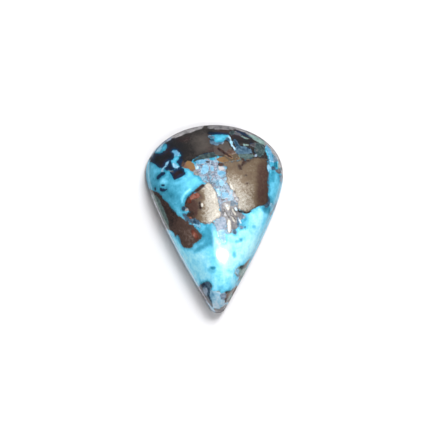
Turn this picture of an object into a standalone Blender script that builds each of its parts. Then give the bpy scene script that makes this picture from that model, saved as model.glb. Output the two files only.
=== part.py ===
"""A pear-shaped turquoise cabochon: one polished stone.

The stone lies on its flat, ground back. A narrow chamfer leads out from the back to the girdle, the
widest line of the stone. A fine bevel turns in from the girdle, and from there a high dome closes over
the pear outline. The dome is highest in the round end and runs down a soft crest to the tip.

Lengths are in metres and +Z is up. The tip points along -Y, and the origin is on the back, under the
middle of the outline.
"""

import math

import bmesh
import bpy
from mathutils import Vector

NAME = "turquoise_cabochon"

# Driving dimensions
LENGTH = 0.0250
WIDTH = 0.0180
HEIGHT = 0.0078

# The outline seen from above: half an ellipse for the round end, two curved sides, and the tip's arc
ROUND_END = 0.0065  # along Y, from the widest line to the end of the ellipse
SIDE_ANGLE = math.radians(30)  # between the sides and the long axis where they reach the tip
TIP_RADIUS = 0.0011

# The edge of the stone
GIRDLE_LOW = 0.0008  # top of the chamfer
GIRDLE_HIGH = 0.0010  # foot of the bevel
DOME_FOOT = 0.0012  # top of the bevel
BACK_INSET = 0.0005  # how far the chamfer runs in under the girdle
BEVEL_INSET = 0.00015  # how far the bevel runs in over the girdle

# The dome
CREST_Y = 0.0022  # where the stone is highest
FULLNESS = 2.35  # 2 gives an elliptical dome, and more gives it fuller shoulders
CREST_TIP_RADIUS = 0.0065  # tip of the highest sections, which rounds the crest

# Number of facets along each stretch of half the outline, and up the dome
ROUND_END_FACETS = 22
SIDE_FACETS = 20
TIP_FACETS = 8
DOME_FACETS = 20

TURQUOISE = (0.15, 0.50, 0.62, 1.0)
POLISH_ROUGHNESS = 0.12

WIDEST_Y = LENGTH / 2 - ROUND_END
SIDES_MEET_Y = -LENGTH / 2 - TIP_RADIUS * (1 / math.sin(SIDE_ANGLE) - 1)


def round_end():
    """A quarter of the ellipse, from the middle of the round end to the widest line."""
    for step in range(ROUND_END_FACETS):
        turn = math.pi / 2 * (1 - step / ROUND_END_FACETS)
        yield Vector((WIDTH / 2 * math.cos(turn), WIDEST_Y + ROUND_END * math.sin(turn)))


def side_and_tip(radius):
    """A quadratic curve from the widest line to the tip's arc, and half of that arc to the long axis."""
    centre = Vector((0.0, SIDES_MEET_Y + radius / math.sin(SIDE_ANGLE)))
    widest = Vector((WIDTH / 2, WIDEST_Y))
    corner = Vector((WIDTH / 2, SIDES_MEET_Y + WIDTH / 2 / math.tan(SIDE_ANGLE)))
    touch = centre + radius * Vector((math.cos(SIDE_ANGLE), -math.sin(SIDE_ANGLE)))
    for step in range(SIDE_FACETS):
        t = step / SIDE_FACETS
        yield widest.lerp(corner, t).lerp(corner.lerp(touch, t), t)
    for step in range(TIP_FACETS + 1):
        turn = SIDE_ANGLE + (math.pi / 2 - SIDE_ANGLE) * step / TIP_FACETS
        yield centre + radius * Vector((math.cos(turn), -math.sin(turn)))


def pear(tip_radius):
    """The whole outline as a ring of points, clockwise from the middle of the round end."""
    right = [*round_end(), *side_and_tip(tip_radius)]
    left = [Vector((-point.x, point.y)) for point in right[-2:0:-1]]
    return right + left


def inset(ring, distance):
    """The ring moved inwards by distance, square to its own run."""
    moved = []
    for index, point in enumerate(ring):
        run = (ring[(index + 1) % len(ring)] - ring[index - 1]).normalized()
        moved.append(point + distance * Vector((run.y, -run.x)))
    return moved


def dome_section(step):
    """A level section of the dome and its height: a smaller pear about the crest, with a rounder tip."""
    turn = math.pi / 2 * step / DOME_FACETS
    size = math.cos(turn) ** (2 / FULLNESS)
    height = DOME_FOOT + (HEIGHT - DOME_FOOT) * math.sin(turn) ** (2 / FULLNESS)
    crest = Vector((0.0, CREST_Y))
    outline = pear(TIP_RADIUS + (CREST_TIP_RADIUS - TIP_RADIUS) * (1 - size))
    return [crest.lerp(point, size) for point in inset(outline, BEVEL_INSET)], height


def add_ring(bm, ring, height):
    return [bm.verts.new((point.x, point.y, height)) for point in ring]


def stone_mesh():
    """The sections lofted from the back to the crest, with one flat face for the back."""
    bm = bmesh.new()
    girdle = pear(TIP_RADIUS)
    rings = [
        add_ring(bm, inset(girdle, BACK_INSET), 0.0),
        add_ring(bm, girdle, GIRDLE_LOW),
        add_ring(bm, girdle, GIRDLE_HIGH),
    ]
    for step in range(DOME_FACETS):
        rings.append(add_ring(bm, *dome_section(step)))
    top = bm.verts.new((0.0, CREST_Y, HEIGHT))

    bm.faces.new(rings[0])
    around = range(len(girdle))
    for lower, upper in zip(rings, rings[1:]):
        for index in around:
            before = index - 1
            bm.faces.new((lower[index], lower[before], upper[before], upper[index]))
    for index in around:
        bm.faces.new((rings[-1][index], rings[-1][index - 1], top))

    mesh = bpy.data.meshes.new(NAME)
    bm.to_mesh(mesh)
    bm.free()
    mesh.shade_smooth()
    mesh.set_sharp_from_angle(angle=math.radians(30))
    return mesh


def polished_turquoise():
    material = bpy.data.materials.new("polished_turquoise")
    material.use_nodes = True
    shader = material.node_tree.nodes["Principled BSDF"]
    shader.inputs["Base Color"].default_value = TURQUOISE
    shader.inputs["Roughness"].default_value = POLISH_ROUGHNESS
    shader.inputs["Metallic"].default_value = 0.0
    return material


def build():
    for old in list(bpy.data.objects):
        bpy.data.objects.remove(old)
    collection = bpy.data.collections.new(NAME)
    bpy.context.scene.collection.children.link(collection)
    stone = bpy.data.objects.new("cabochon", stone_mesh())
    stone.data.materials.append(polished_turquoise())
    collection.objects.link(stone)


build()
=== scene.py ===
import math

import bpy
import numpy as np
from mathutils import Matrix, Vector, noise


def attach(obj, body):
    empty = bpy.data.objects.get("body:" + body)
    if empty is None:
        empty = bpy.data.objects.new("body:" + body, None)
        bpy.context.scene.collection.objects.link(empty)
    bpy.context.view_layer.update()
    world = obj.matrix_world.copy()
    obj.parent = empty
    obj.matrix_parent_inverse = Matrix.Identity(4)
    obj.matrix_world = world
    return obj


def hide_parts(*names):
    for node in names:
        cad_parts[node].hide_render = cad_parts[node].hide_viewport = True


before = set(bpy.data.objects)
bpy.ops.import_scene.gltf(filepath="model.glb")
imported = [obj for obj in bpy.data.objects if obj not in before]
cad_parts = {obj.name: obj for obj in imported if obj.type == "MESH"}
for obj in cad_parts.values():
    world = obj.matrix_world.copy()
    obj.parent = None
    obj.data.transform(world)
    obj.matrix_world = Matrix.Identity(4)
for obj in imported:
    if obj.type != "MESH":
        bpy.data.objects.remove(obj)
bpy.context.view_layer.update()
scene = bpy.context.scene

# The set: the stone lies on a sheet of white board among white light boxes, and a long lens looks down at it.
# The lens leans 14 degrees towards the tip and 7 degrees to the left of straight down, as in the photograph.
MM = 0.001
IMAGE_SIZE = 430
PIXELS_PER_MM = 7.668
ORIGIN_PIXEL = Vector((214.8, 220.95))
TO_CAMERA = Vector((-0.1219, -0.2419, 0.9626)).normalized()
CAMERA_ROLL = math.radians(1.33)
CAMERA_DISTANCE = 0.6
SENSOR_WIDTH = 36.0

level_right = Vector((0, 1, 0)).cross(TO_CAMERA).normalized()
level_up = TO_CAMERA.cross(level_right)
image_right = level_right * math.cos(CAMERA_ROLL) - level_up * math.sin(CAMERA_ROLL)
image_up = level_right * math.sin(CAMERA_ROLL) + level_up * math.cos(CAMERA_ROLL)
offset = (Vector((IMAGE_SIZE / 2, IMAGE_SIZE / 2)) - ORIGIN_PIXEL) / PIXELS_PER_MM * MM
aim = image_right * offset.x - image_up * offset.y
lens = bpy.data.cameras.new("camera")
lens.sensor_width = SENSOR_WIDTH
lens.lens = SENSOR_WIDTH * CAMERA_DISTANCE / (IMAGE_SIZE / PIXELS_PER_MM * MM)
camera = bpy.data.objects.new("camera", lens)
facing = Matrix((image_right, image_up, TO_CAMERA)).transposed()
camera.matrix_world = Matrix.Translation(aim + TO_CAMERA * CAMERA_DISTANCE) @ facing.to_4x4()
scene.collection.objects.link(camera)
scene.camera = camera
scene.view_settings.view_transform = "Standard"

ROOM_LIGHT = 0.1
ROOM_COLOUR = (0.97, 0.98, 1.0, 1)
room = bpy.data.worlds.new("room")
room.use_nodes = True
room_glow = room.node_tree.nodes["Background"]
room_glow.inputs["Color"].default_value = ROOM_COLOUR
room_glow.inputs["Strength"].default_value = ROOM_LIGHT
scene.world = room


def light_box(name, towards, width, length, brightness, distance=0.5, shape="RECTANGLE", use="both"):
    """A white light box that faces the stone from that direction, so many metres away. Its width and length
    are in degrees as seen from the stone, and its brightness is how bright it looks from there. One that is
    there to "shine" doesn't show in the polish, and one to "mirror" shows in the polish and lights nothing."""
    towards = Vector(towards).normalized()
    light = bpy.data.lights.new(name, "AREA")
    light.shape = shape
    light.size = 2 * distance * math.tan(math.radians(width / 2))
    light.size_y = 2 * distance * math.tan(math.radians(length / 2))
    light.energy = brightness * math.pi * light.size * light.size_y
    side = Vector((0, 1, 0)).cross(towards).normalized()
    facing = Matrix((side, towards.cross(side), towards)).transposed()
    box = bpy.data.objects.new(name, light)
    box.matrix_world = Matrix.Translation(towards * distance) @ facing.to_4x4()
    box.visible_glossy = use != "shine"
    box.visible_diffuse = use != "mirror"
    scene.collection.objects.link(box)


# the lamp's bright spot on the crest, with its glow and halo, and the pale sheen of the pyrite
light_box("lamp", (0.12, -0.36, 0.925), width=32, length=9, brightness=12.0, distance=0.46, shape="ELLIPSE")
light_box("lamp_glow", (0.12, -0.34, 0.93), width=44, length=17, brightness=2.6, distance=0.48,
          shape="ELLIPSE", use="mirror")
light_box("lamp_halo", (0.12, -0.28, 0.93), width=56, length=34, brightness=1.0,
          shape="ELLIPSE", use="mirror")
light_box("overhead_card", (-0.06, -0.08, 0.99), width=18, length=24, brightness=2.0, use="mirror")
light_box("pyrite_card", (0.3, 0.16, 0.94), width=20, length=20, brightness=3.4, use="mirror")
# the light that falls on the stone and the board, most of it from beyond the round end
light_box("sun_box", (0.175, 0.425, 0.885), width=18, length=17, brightness=35.0, use="shine")
light_box("top_box", (0.32, 0.58, 0.75), width=34, length=30, brightness=3.4, distance=0.55, use="shine")
light_box("right_box", (0.78, -0.2, 0.55), width=35, length=40, brightness=1.0, use="shine")
light_box("left_fill", (-0.88, -0.38, 0.2), width=45, length=24, brightness=5.3, use="shine")
# the steep foot mirrors this box in place of the board, which doesn't show in the polish
light_box("under_box", (0.15, -0.25, -0.96), width=70, length=70, brightness=0.45)

BOARD_SIZE = 3.0
BOARD_COLOUR = (0.64, 0.635, 0.65, 1)
BOARD_ROUGHNESS = 0.6
BOARD_GLOSS = 0.2
bpy.ops.mesh.primitive_plane_add(size=BOARD_SIZE)
board = bpy.context.object
board.name = "board"
card = bpy.data.materials.new("white_card")
card.use_nodes = True
card_skin = card.node_tree.nodes["Principled BSDF"]
card_skin.inputs["Base Color"].default_value = BOARD_COLOUR
card_skin.inputs["Roughness"].default_value = BOARD_ROUGHNESS
card_skin.inputs["Specular IOR Level"].default_value = BOARD_GLOSS
board.data.materials.append(card)
board.visible_glossy = False

# Cabochon: one piece of turquoise with bronze pyrite and dark matrix in it, sawn flat, ground to a pear
# outline and domed on the wheel. Its back and narrow girdle stay ground matt, and the dome is polished.
LENGTH = 0.025
WIDTH = 0.018
HEIGHT = 0.0078
ROUND_END = 0.0065
SIDE_ANGLE = math.radians(30.0)
TIP_RADIUS = 0.0011
GIRDLE_LOW = 0.0008
GIRDLE_HIGH = 0.0010
DOME_FOOT = 0.0012
BACK_INSET = 0.0005
BEVEL_INSET = 0.00015
CREST_Y = 0.0022
FULLNESS = 2.35
CREST_TIP_RADIUS = 0.0065
WIDEST_Y = LENGTH / 2 - ROUND_END
SIDES_MEET_Y = -LENGTH / 2 - TIP_RADIUS * (1 / math.sin(SIDE_ANGLE) - 1)
POINTS_AROUND = 384
ROUND_END_SHARE = 0.36
SIDE_SHARE = 0.52
BACK_ROWS = 60
EDGE_ROWS = 2
DOME_ROWS = 130
ARRIS_ROUNDING = 0.00005
ARRIS_STEPS = 2
ARRIS_ANGLE = math.radians(25.0)
SHARP_ANGLE = math.radians(32.0)
SEAM_GAP = 1e-7


def join(tree, value, place):
    if isinstance(value, Field):
        tree.links.new(value.socket, place)
    elif isinstance(value, bpy.types.NodeSocket):
        tree.links.new(value, place)
    else:
        place.default_value = value


class Field:
    """A value that changes over the stone, so that a rule can be written out as a sum in a node tree."""

    def __init__(self, tree, socket):
        self.tree = tree
        self.socket = socket

    def work(self, operation, *values):
        node = self.tree.nodes.new("ShaderNodeMath")
        node.operation = operation
        for place, value in zip(node.inputs, values):
            join(self.tree, value, place)
        return Field(self.tree, node.outputs[0])

    def __pow__(self, other):
        return self.work("POWER", self, other)

    def sin(self):
        return self.work("SINE", self)

    def cos(self):
        return self.work("COSINE", self)

    def rise(self, low, high, kind="LINEAR"):
        """0 up to low, 1 from high on, and even or eased between."""
        node = self.tree.nodes.new("ShaderNodeMapRange")
        node.interpolation_type = kind
        join(self.tree, self, node.inputs["Value"])
        join(self.tree, low, node.inputs["From Min"])
        join(self.tree, high, node.inputs["From Max"])
        return Field(self.tree, node.outputs["Result"])


# the four sums, with a field on either side
for sign, operation in {"add": "ADD", "sub": "SUBTRACT", "mul": "MULTIPLY", "truediv": "DIVIDE"}.items():
    setattr(Field, f"__{sign}__", lambda left, right, do=operation: left.work(do, left, right))
    setattr(Field, f"__r{sign}__", lambda right, left, do=operation: right.work(do, left, right))


def open_tree(name, kind, inputs, outputs):
    """A node tree with its entry, its exit and a field for each number that comes in."""
    tree = bpy.data.node_groups.new(name, kind)
    for label, socket in inputs.items():
        tree.interface.new_socket(label, in_out="INPUT", socket_type=socket)
    for label, socket in outputs.items():
        tree.interface.new_socket(label, in_out="OUTPUT", socket_type=socket)
    entry = tree.nodes.new("NodeGroupInput")
    fields = {label: Field(tree, entry.outputs[label]) for label in inputs}
    return tree, fields, tree.nodes.new("NodeGroupOutput")


# The pear outline: half an ellipse for the round end, two soft sides, and a small arc that joins them at the
# tip. Around runs clockwise, from 0 in the middle of the round end to 1 at the tip and 2 at the start again.
FLOAT = "NodeSocketFloat"
outline_sizes = ["Half Width", "Round End", "Widest Y", "Sides Meet Y", "Side Angle"]
outline_tree, given, leave = open_tree(
    "pear_outline",
    "GeometryNodeTree",
    {name: FLOAT for name in ["Around", "Tip Radius", *outline_sizes]},
    {"X": FLOAT, "Y": FLOAT},
)
half_width, round_end, widest_y, meet_y, side_angle = [given[name] for name in outline_sizes]
radius = given["Tip Radius"]
half_way = radius.work("PINGPONG", given["Around"], 1.0)
quarter = half_way.rise(0.0, ROUND_END_SHARE) * (math.pi / 2)
along = half_way.rise(ROUND_END_SHARE, ROUND_END_SHARE + SIDE_SHARE)
tip_turn = side_angle + (math.pi / 2 - side_angle) * half_way.rise(ROUND_END_SHARE + SIDE_SHARE, 1.0)
slope = side_angle.cos() / side_angle.sin()
touch_x = radius * side_angle.cos()
touch_y = meet_y + touch_x * slope
corner_y = meet_y + half_width * slope
outline_x = (
    half_width * quarter.sin()
    + along * along * (touch_x - half_width)
    + radius * (tip_turn.cos() - side_angle.cos())
)
outline_y = (
    widest_y
    + round_end * quarter.cos()
    + 2.0 * along * (1.0 - along) * (corner_y - widest_y)
    + along * along * (touch_y - widest_y)
    - radius * (tip_turn.sin() - side_angle.sin())
)
right_or_left = radius.work("SIGN", (given["Around"] * math.pi).sin())
join(outline_tree, outline_x * right_or_left, leave.inputs["X"])
join(outline_tree, outline_y, leave.inputs["Y"])

# The stone is a stack of level pears, from the middle of the back out to its edge, up the girdle and over the
# dome to the crest. Each is set in from the girdle, and over the dome they shrink towards the crest while
# their tips grow rounder.
stone_sizes = {
    "Half Width": WIDTH / 2,
    "Round End": ROUND_END,
    "Widest Y": WIDEST_Y,
    "Sides Meet Y": SIDES_MEET_Y,
    "Side Angle": SIDE_ANGLE,
    "Tip Radius": TIP_RADIUS,
    "Crest Tip Radius": CREST_TIP_RADIUS,
    "Crest Y": CREST_Y,
    "Height": HEIGHT,
    "Dome Foot": DOME_FOOT,
    "Girdle Low": GIRDLE_LOW,
    "Girdle High": GIRDLE_HIGH,
    "Back Inset": BACK_INSET,
    "Bevel Inset": BEVEL_INSET,
    "Fullness": FULLNESS,
}
stone_inputs = {name: FLOAT for name in stone_sizes}
stone_tree, given, leave = open_tree(
    "cabochon_shape",
    "GeometryNodeTree",
    {"Geometry": "NodeSocketGeometry", **stone_inputs, "Stone": "NodeSocketMaterial"},
    {"Geometry": "NodeSocketGeometry"},
)
stage_rows = [BACK_ROWS, EDGE_ROWS, EDGE_ROWS, EDGE_ROWS, DOME_ROWS]
rows = sum(stage_rows) + 1
grid = stone_tree.nodes.new("GeometryNodeMeshGrid")
grid.inputs["Vertices X"].default_value = POINTS_AROUND + 1
grid.inputs["Vertices Y"].default_value = rows
index = Field(stone_tree, stone_tree.nodes.new("GeometryNodeInputIndex").outputs[0])
row = index.work("MODULO", index, float(rows))
around = index.work("FLOOR", (index + 0.5) / float(rows)) * (2 / POINTS_AROUND)
over_back, up_chamfer, up_girdle, up_bevel, up_dome = [
    row.rise(float(sum(stage_rows[:k])), float(sum(stage_rows[:k + 1]))) for k in range(len(stage_rows))
]
dome_turn = up_dome * (math.pi / 2)
dome_power = 2.0 / given["Fullness"]
dome_size = row.work("MAXIMUM", dome_turn.cos(), 0.0) ** dome_power
inset = given["Back Inset"] * (1.0 - up_chamfer) + given["Bevel Inset"] * up_bevel
level_z = (
    given["Girdle Low"] * up_chamfer
    + (given["Girdle High"] - given["Girdle Low"]) * up_girdle
    + (given["Dome Foot"] - given["Girdle High"]) * up_bevel
    + (given["Height"] - given["Dome Foot"]) * dome_turn.sin() ** dome_power
)
level_radius = given["Tip Radius"] + (given["Crest Tip Radius"] - given["Tip Radius"]) * (1.0 - dome_size)


def outline_point(where):
    """The level pear's point at that place around it."""
    pear = stone_tree.nodes.new("GeometryNodeGroup")
    pear.node_tree = outline_tree
    join(stone_tree, where, pear.inputs["Around"])
    join(stone_tree, level_radius, pear.inputs["Tip Radius"])
    for name in outline_sizes:
        join(stone_tree, given[name], pear.inputs[name])
    return Field(stone_tree, pear.outputs["X"]), Field(stone_tree, pear.outputs["Y"])


point_x, point_y = outline_point(around)
before_x, before_y = outline_point(around - 1 / POINTS_AROUND)
after_x, after_y = outline_point(around + 1 / POINTS_AROUND)
run_x = after_x - before_x
run_y = after_y - before_y
run = (run_x * run_x + run_y * run_y) ** 0.5
shrink = over_back * dome_size
level = stone_tree.nodes.new("ShaderNodeCombineXYZ")
join(stone_tree, (point_x + inset * run_y / run) * shrink, level.inputs["X"])
from_crest = point_y - inset * run_x / run - given["Crest Y"]
join(stone_tree, given["Crest Y"] + from_crest * shrink, level.inputs["Y"])
join(stone_tree, level_z, level.inputs["Z"])
flow = grid.outputs["Mesh"]
for kind, place, value in [
    ("GeometryNodeSetPosition", "Position", level.outputs[0]),
    ("GeometryNodeMergeByDistance", "Distance", SEAM_GAP),
    ("GeometryNodeFlipFaces", None, None),
    ("GeometryNodeSetShadeSmooth", "Shade Smooth", True),
    ("GeometryNodeRealizeInstances", None, None),
    ("GeometryNodeSetMaterial", "Material", given["Stone"]),
]:
    step = stone_tree.nodes.new(kind)
    stone_tree.links.new(flow, step.inputs["Geometry"] if "Geometry" in step.inputs else step.inputs[0])
    if place:
        join(stone_tree, value, step.inputs[place])
    flow = step.outputs[0]
stone_tree.links.new(flow, leave.inputs["Geometry"])

stone_finish = bpy.data.materials.new("turquoise_with_pyrite")
stone_finish.use_nodes = True

seed = bpy.data.objects.new("seed", bpy.data.meshes.new("seed"))
scene.collection.objects.link(seed)
shaping = seed.modifiers.new("shape", "NODES")
shaping.node_group = stone_tree
for socket in stone_tree.interface.items_tree:
    if socket.in_out == "INPUT" and socket.name in stone_sizes:
        shaping[socket.identifier] = stone_sizes[socket.name]
    if socket.in_out == "INPUT" and socket.name == "Stone":
        shaping[socket.identifier] = stone_finish
rounding = seed.modifiers.new("arris", "BEVEL")
rounding.width = ARRIS_ROUNDING
rounding.segments = ARRIS_STEPS
rounding.limit_method = "ANGLE"
rounding.angle_limit = ARRIS_ANGLE
bpy.context.view_layer.update()
shaped = seed.evaluated_get(bpy.context.evaluated_depsgraph_get())
body = bpy.data.meshes.new_from_object(shaped)
bpy.data.objects.remove(seed)
body.name = "cabochon"
body.materials.clear()
body.materials.append(stone_finish)
body.set_sharp_from_angle(angle=SHARP_ANGLE)
stone = bpy.data.objects.new("cabochon_stone", body)
scene.collection.objects.link(stone)

# Markings: what the stone is made of shows on the polish as patches. Each runs down through the stone along
# the line of sight of the photograph, so it is drawn as an outline in millimetres from the middle of the
# back. Its edge wavers a little, and near the foot, where the line of sight grazes the stone, it also drifts.
LEAN = Vector((-TO_CAMERA.x / TO_CAMERA.z, -TO_CAMERA.y / TO_CAMERA.z))
FAR = 9.0
EDGE_REACH = 0.6
TONE_EDGE = 0.12
PLAIN_TONE = 0.5
WAVER = 0.07
WAVER_LENGTH = 0.9
WAVER_SEED = 1795853127
DRIFT = 2.4
DRIFT_LENGTH = 5.0
DRIFT_TOP = 4.2
CORNER_CUT = 0.25
SPOT_POINTS = 8


def spot(x, y, width, height=None, turn=0.0):
    """An oval outline round x, y, so wide and high, turned that many degrees."""
    height = height or width
    lean = math.radians(turn)
    outline = []
    for k in range(SPOT_POINTS):
        angle = 2 * math.pi * k / SPOT_POINTS
        along, over = width / 2 * math.cos(angle), height / 2 * math.sin(angle)
        outline.append((
            x + along * math.cos(lean) - over * math.sin(lean),
            y + along * math.sin(lean) + over * math.cos(lean),
        ))
    return outline


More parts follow.
